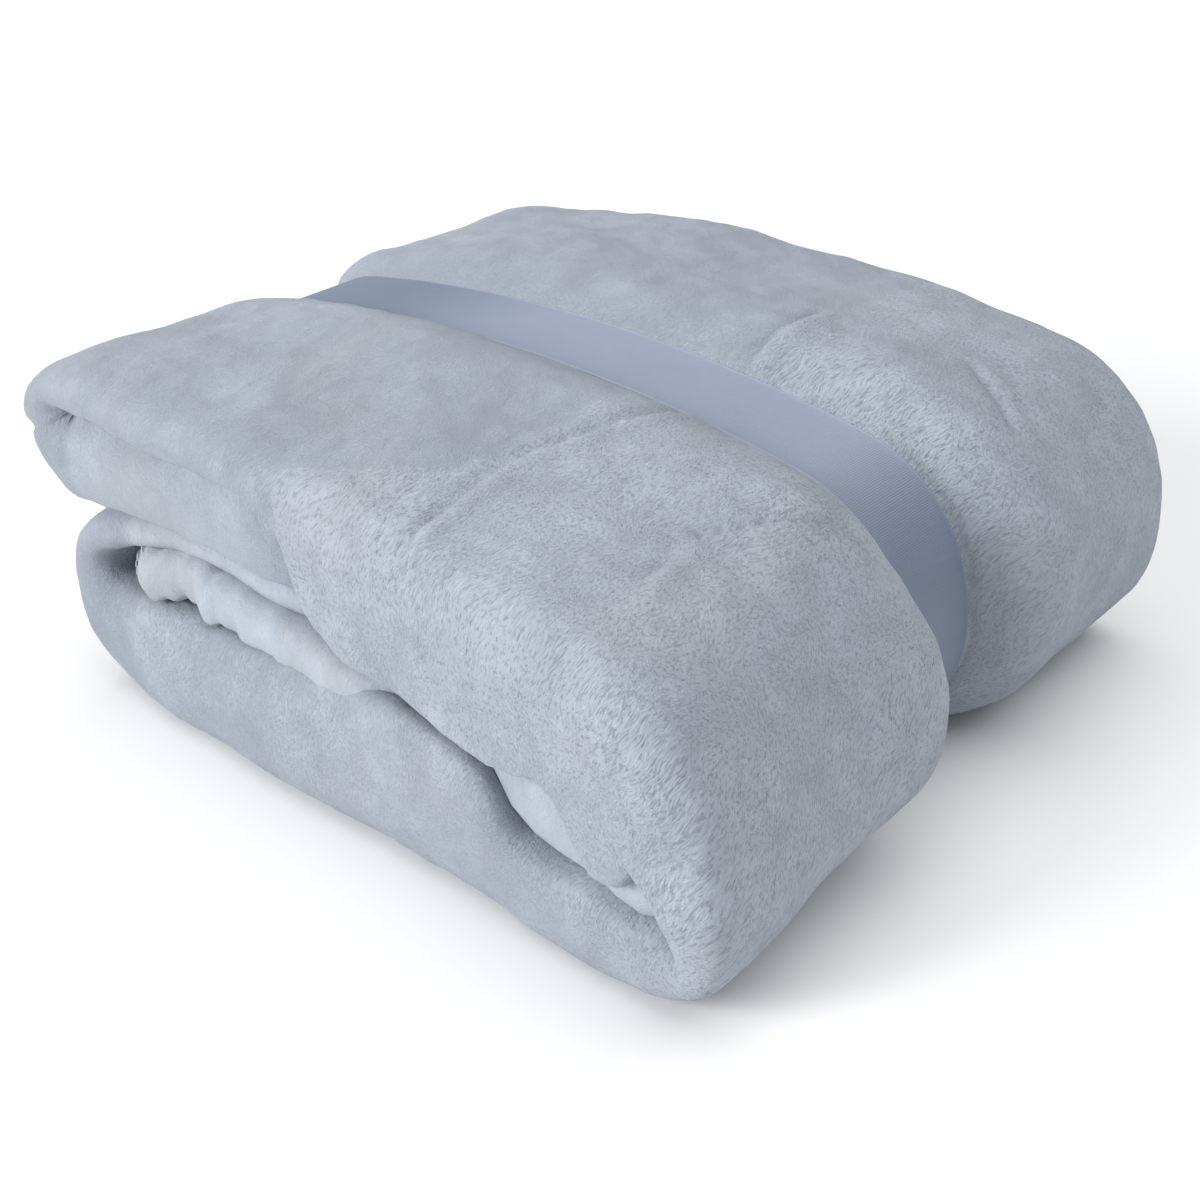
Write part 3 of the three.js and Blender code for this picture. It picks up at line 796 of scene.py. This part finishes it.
def tube(name, line, radius, sides):
    # a closed round tube along a dense line
    tangent = unit(np.gradient(line, axis=0))
    side = np.zeros_like(line)
    current = unit(np.cross(tangent[0], [0.3, 0.5, 0.8]))
    for k, heading in enumerate(tangent):  # carried along the line without twist
        current = current - heading * np.dot(current, heading)
        current = current / max(np.linalg.norm(current), 1e-9)
        side[k] = current
    other = np.cross(tangent, side)
    angles = np.linspace(0, 2 * math.pi, sides, endpoint=False)
    rings = (line[:, None] + radius * (np.cos(angles)[None, :, None] * side[:, None]
                                       + np.sin(angles)[None, :, None] * other[:, None]))
    faces = gridFaces(len(line), sides, closeColumns=True)[:, ::-1]
    centres = np.stack([line[0] - tangent[0] * radius * 0.6, line[-1] + tangent[-1] * radius * 0.6])
    piece = addMesh(name, np.concatenate([rings.reshape(-1, 3), centres]), faces)
    caps = bmesh.new()
    caps.from_mesh(piece.data)
    caps.verts.ensure_lookup_table()
    last = (len(line) - 1) * sides
    for k in range(sides):
        following = (k + 1) % sides
        caps.faces.new([caps.verts[index] for index in (following, k, len(line) * sides)])
        caps.faces.new([caps.verts[index] for index in (last + k, last + following, len(line) * sides + 1)])
    bmesh.ops.recalc_face_normals(caps, faces=caps.faces)
    caps.to_mesh(piece.data)
    caps.free()
    return piece


def overlock(name, edge, inward, normals, node):
    # one thread that winds over the cut edge all along it, and stands wider where it goes into the cloth
    lengths = lengthsAlong(edge)
    turns = lengths[-1] / hem["pitch"]
    places = np.linspace(0, lengths[-1], int(turns * hem["perTurn"]))
    angle = places / hem["pitch"] * 2 * math.pi

    def at(values):
        return np.stack([np.interp(places, lengths, values[:, axis]) for axis in range(3)], -1)

    into, out = unit(at(inward)), unit(at(normals))
    half = fold["clothThickness"] * fold["pressedEdge"] / 2 + hem["thread"] + hem["clearance"]
    middle, reach = (hem["reach"] - hem["standOff"]) / 2, (hem["reach"] + hem["standOff"]) / 2
    rise = np.sign(np.sin(angle)) * np.abs(np.sin(angle)) ** 0.6
    spread = 1 + hem["spread"] * (1 + np.cos(angle)) / 2
    sideways, away = middle + reach * np.cos(angle), half * rise * spread
    line = at(edge) + into * sideways[:, None] + out * away[:, None]
    piece = tube(name, line, hem["thread"], hem["sides"])
    piece.data.materials.append(hemThreadMaterial)
    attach(piece, "blanket")
    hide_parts(node)
    return piece


print("sewing the hems")
hems = [
    overlock("sideHemFirst", sheetPoints[:, -1], sheetPoints[:, -2] - sheetPoints[:, -1],
             sheetNormals[:, -1], "side_hem_thread_first"),
    overlock("sideHemSecond", sheetPoints[:, 0], sheetPoints[:, 1] - sheetPoints[:, 0],
             sheetNormals[:, 0], "side_hem_thread_second"),
    overlock("endHemInner", sheetPoints[0], sheetPoints[1] - sheetPoints[0],
             sheetNormals[0], "end_hem_thread_inner"),
    overlock("endHemOuter", sheetPoints[-1], sheetPoints[-2] - sheetPoints[-1],
             sheetNormals[-1], "end_hem_thread_outer"),
]


label = {
    "ply": 0.35, "gap": 0.5, "curl": 3.0, "bow": 0.7,
    "colour": (0.86, 0.86, 0.84), "shade": (0.78, 0.79, 0.78),
}


def careLabel():
    # a blank satin strip folded in half, with its two ends sewn into the hem
    low, high = (np.array(corner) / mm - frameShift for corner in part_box("care_label"))
    width, height = high[0] - low[0], high[2] - low[2]
    turn = (label["gap"] + label["ply"]) / 2
    down = np.linspace(0, height - turn, 22)
    angles = np.linspace(0, math.pi, 9)[1:-1]
    out = np.concatenate([np.full_like(down, turn), turn * np.cos(angles), np.full_like(down, -turn)])
    drop = np.concatenate([down, height - turn + turn * np.sin(angles), down[::-1]])
    across = np.linspace(0, 1, 13)
    grid = np.zeros((len(drop), len(across), 3))
    grid[..., 0] = low[0] + width * across[None, :]
    sway = label["curl"] * smoothStep(drop / height) ** 1.5
    grid[..., 1] = ((low[1] + high[1]) / 2 + out + sway)[:, None] + label["bow"] * np.sin(across * math.pi)
    grid[..., 2] = (high[2] - drop)[:, None]
    piece = closedSheet("careLabel", grid, label["ply"])
    material, place, shader = newMaterial("labelSatin", {"Specular IOR Level": 0.5, "Sheen Weight": 0.1})
    weave = place.node("ShaderNodeTexWave", {"bands_direction": "Z"},
                       {"Vector": place, "Scale": 900.0, "Distortion": 0.6})
    cloudy = place.noise(0.012, 2)
    finish(shader, cloudy.mixed(label["shade"], label["colour"]), 0.35 + weave * 0.12, weave, 0.0001, 0.6)
    piece.data.materials.append(material)
    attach(piece, "blanket")
    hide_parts("care_label")


print("care label")
careLabel()


ribbon = {
    "width": 50, "thickness": 0.6, "clearance": 0.3, "edgeMargin": 0.2,
    "lap": 60, "ramp": 8, "innerLevel": 2.8, "outerLevel": 1.3,
    "ribPitch": 1.1, "ribRows": 4, "ribDepth": 0.26, "selvedge": 1.3, "smoothing": 9,
    # the first colour below is the satin in painted shade and the second its painted highlight; which one
    # shows follows a painted reflection along X, with some noise and thread tone
    "colour": (0.145, 0.185, 0.26), "light": (0.375, 0.415, 0.535),
    # the darker colour below is painted shade in the grooves between the ribs
    "grooveShade": (0.12, 0.15, 0.21),
    "paintedShineStart": (-0.14, -0.03), "paintedShineEnd": (0.13, 0.19),    # painted highlight of the satin's reflection: its lighter stretch, along X
}


def tautLine(points):
    # convex outline, anticlockwise: along the underside to +X, up, back over the top
    points = sorted(set(map(tuple, np.round(points, 3))))

    def half(line):
        chain = []
        for point in line:
            while len(chain) > 1:
                (ax, az), (bx, bz) = chain[-2:]
                if (bx - ax) * (point[1] - az) - (bz - az) * (point[0] - ax) > 0:
                    break
                chain.pop()
            chain.append(point)
        return chain[:-1]

    return np.array(half(points) + half(points[::-1]))


def ribbonPath():
    # stretched round the cloth under it, with its second end lapped over the first on the underside
    half = sheetNormals * fold["clothThickness"] / 2
    surface = np.concatenate([sheetPoints + half, sheetPoints - half]).reshape(-1, 3)
    under = surface[np.abs(surface[:, 1]) < ribbon["width"] / 2 + ribbon["edgeMargin"]]
    hull = tautLine(under[:, [0, 2]])
    spacing = ribbon["ribPitch"] / ribbon["ribRows"]
    loop = resampled(np.concatenate([hull, hull[:1]]), spacing)[:-1]
    window = int(ribbon["smoothing"] / spacing)
    kernel = np.hanning(2 * window + 3)[1:-1]
    kernel /= kernel.sum()
    wrapped = np.concatenate([loop[-window:], loop, loop[:window]])
    loop = np.stack([np.convolve(wrapped[:, axis], kernel, "valid") for axis in (0, 1)], -1)
    heading = unit(np.roll(loop, -1, axis=0) - np.roll(loop, 1, axis=0))
    outward = np.stack([heading[:, 1], -heading[:, 0]], -1)
    loop = loop + outward * (ribbon["clearance"] + ribbon["thickness"] / 2)
    underside = (loop[:, 1] < ribbon["innerLevel"] + 3) & (heading[:, 0] > 0.9)
    first = np.argmin(np.abs(loop[:, 0] + ribbon["lap"] / 2) + 1e6 * ~underside)
    loop = np.roll(loop, -first, axis=0)
    loop = loop[:-int(2 * ribbon["ramp"] / spacing)]
    lapX = np.arange(loop[-1, 0] + spacing, ribbon["lap"] / 2, spacing)
    down = smoothStep((lapX - loop[-1, 0]) / ribbon["ramp"])
    lapZ = loop[-1, 1] + (ribbon["outerLevel"] - loop[-1, 1]) * down
    return np.concatenate([loop, np.stack([lapX, lapZ], -1)])


def ribbonBand():
    path = ribbonPath()
    half = ribbon["width"] / 2
    edge = np.array([0, 0.25, 0.6, ribbon["selvedge"], ribbon["selvedge"] + 0.5])
    places = np.concatenate([-half + edge, np.linspace(-half + 6, half - 6, 9), half - edge[::-1]])
    grid = np.zeros((len(path), len(places), 3))
    grid[..., 0] = path[:, None, 0]
    grid[..., 1] = places[None, :]
    grid[..., 2] = path[:, None, 1]
    ribs = 0.5 + 0.5 * np.cos(2 * math.pi * np.arange(len(path)) / ribbon["ribRows"])
    inside = smoothStep((half - np.abs(places) - ribbon["selvedge"]) / 0.5)
    rounded = smoothStep((half - np.abs(places)) / 0.5) * 0.55 + 0.45
    grooves = (1 - ribs)[:, None] * inside[None, :]
    thickness = ribbon["thickness"] * rounded[None, :] - ribbon["ribDepth"] * grooves
    piece = closedSheet("ribbonBand", grid, thickness)
    # the grooves between the ribs are painted darker, a painted shade where the ribs shadow them
    paint(piece, "rib", np.stack([grooves, grooves]))
    material, place, shader = newMaterial("satinGrosgrain", {
        "Specular IOR Level": 0.5, "Sheen Weight": 0.25, "Sheen Roughness": 0.35,
        "Sheen Tint": (0.8, 0.86, 1, 1)})
    alongX = place.node("ShaderNodeSeparateXYZ", None, {0: place})
    # the satin's reflection is painted into the colour: lighter in a middle stretch along X, darker towards
    # both ends
    paintedShine = alongX.step(*ribbon["paintedShineStart"]) * (1.0 - alongX.step(*ribbon["paintedShineEnd"]))
    threads = alongHeading(place, (0, 1, 0), 12).noise(0.0007, 2, 0.6)
    light = paintedShine * 0.6 + place.noise(0.05, 2) * 0.2 + threads * 0.2
    colour = light.mixed(ribbon["colour"], ribbon["light"])
    # painted shade in the grooves between the ribs
    colour = (place.painted("rib") * 0.5).mixed(colour, ribbon["grooveShade"])
    finish(shader, colour, 0.4 + threads * 0.15, threads, 0.0001, 0.5)
    piece.data.materials.append(material)
    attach(piece, "ribbon")
    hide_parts("ribbon_band")


print("ribbon")
ribbonBand()


lapTapeColours = {"colour": (0.68, 0.66, 0.60), "light": (0.76, 0.74, 0.68)}


def colourLapTape():
    # the tape is a flat strip, so the solid of the frame is shown as it is
    material, place, shader = newMaterial("lapTapeFilm", {"Specular IOR Level": 0.5})
    grain = place.noise(0.0015, 2)
    colour = grain.mixed(lapTapeColours["colour"], lapTapeColours["light"])
    finish(shader, colour, 0.4 + grain * 0.25, grain, 0.0001, 0.4)
    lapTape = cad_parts["ribbon_lap_tape"]
    lapTape.data.materials.clear()
    lapTape.data.materials.append(material)


colourLapTape()


studio = {
    "cameraPlace": (542.0, -570.8, 460.7), "cameraRight": (0.7445, 0.6656, -0.0519),
    "cameraBack": (0.6028, -0.6367, 0.4808), "sensor": 36, "lens": 53.07,
    "floorHalf": 6000, "floorColour": (0.94, 0.94, 0.94, 1), "floorDrop": 0.5,
    "skyColour": (0.95, 0.97, 1, 1), "skyStrength": 0.33,
    "keyPlace": (-1.9, -4.4, 2.2), "keySize": 2.2, "keyPower": 236,
    "ceilingHeading": (-0.14, -0.2, -1.0), "ceilingSpread": 1.3, "ceilingPower": 1.93,
}


def placeCamera():
    camera = bpy.data.objects.new("camera", bpy.data.cameras.new("camera"))
    bpy.context.scene.collection.objects.link(camera)
    right = Vector(studio["cameraRight"]).normalized()
    back = Vector(studio["cameraBack"]).normalized()
    place = (Vector(studio["cameraPlace"]) + Vector(frameShift)) * mm
    turned = Matrix((right, back.cross(right), back)).transposed().to_4x4()
    camera.matrix_world = Matrix.Translation(place) @ turned
    camera.data.sensor_width = studio["sensor"]
    camera.data.lens = studio["lens"]
    camera.data.clip_start = 0.01
    bpy.context.scene.camera = camera


def layFloor():
    material = bpy.data.materials.new("paleFloor")
    material.use_nodes = True
    shader = material.node_tree.nodes["Principled BSDF"]
    shader.inputs["Base Color"].default_value = studio["floorColour"]
    shader.inputs["Roughness"].default_value = 0.9
    corners = np.array([(-1, -1, 0), (1, -1, 0), (1, 1, 0), (-1, 1, 0)]) * studio["floorHalf"]
    floor = addMesh("floor", corners, np.array([[0, 1, 2, 3]]), False)
    floor.location.z = -studio["floorDrop"] * mm
    floor.data.materials.append(material)


def addLight(name, kind, place, heading, values):
    light = bpy.data.lights.new(name, kind)
    for key, value in values.items():
        setattr(light, key, value)
    lamp = bpy.data.objects.new(name, light)
    lamp.location = place
    lamp.rotation_euler = heading.to_track_quat("-Z", "Y").to_euler()
    bpy.context.scene.collection.objects.link(lamp)


def lightStudio():
    world = bpy.data.worlds.new("studio")
    world.use_nodes = True
    sky = world.node_tree.nodes["Background"]
    sky.inputs["Color"].default_value = studio["skyColour"]
    sky.inputs["Strength"].default_value = studio["skyStrength"]
    bpy.context.scene.world = world
    keyPlace = Vector(studio["keyPlace"])
    addLight("keyLight", "AREA", keyPlace, -keyPlace,
             {"size": studio["keySize"], "energy": studio["keyPower"]})
    addLight("ceilingLight", "SUN", (0, 0, 0), Vector(studio["ceilingHeading"]),
             {"angle": studio["ceilingSpread"], "energy": studio["ceilingPower"]})
    bpy.context.scene.view_settings.view_transform = "Standard"


print("studio")
placeCamera()
layFloor()
lightStudio()
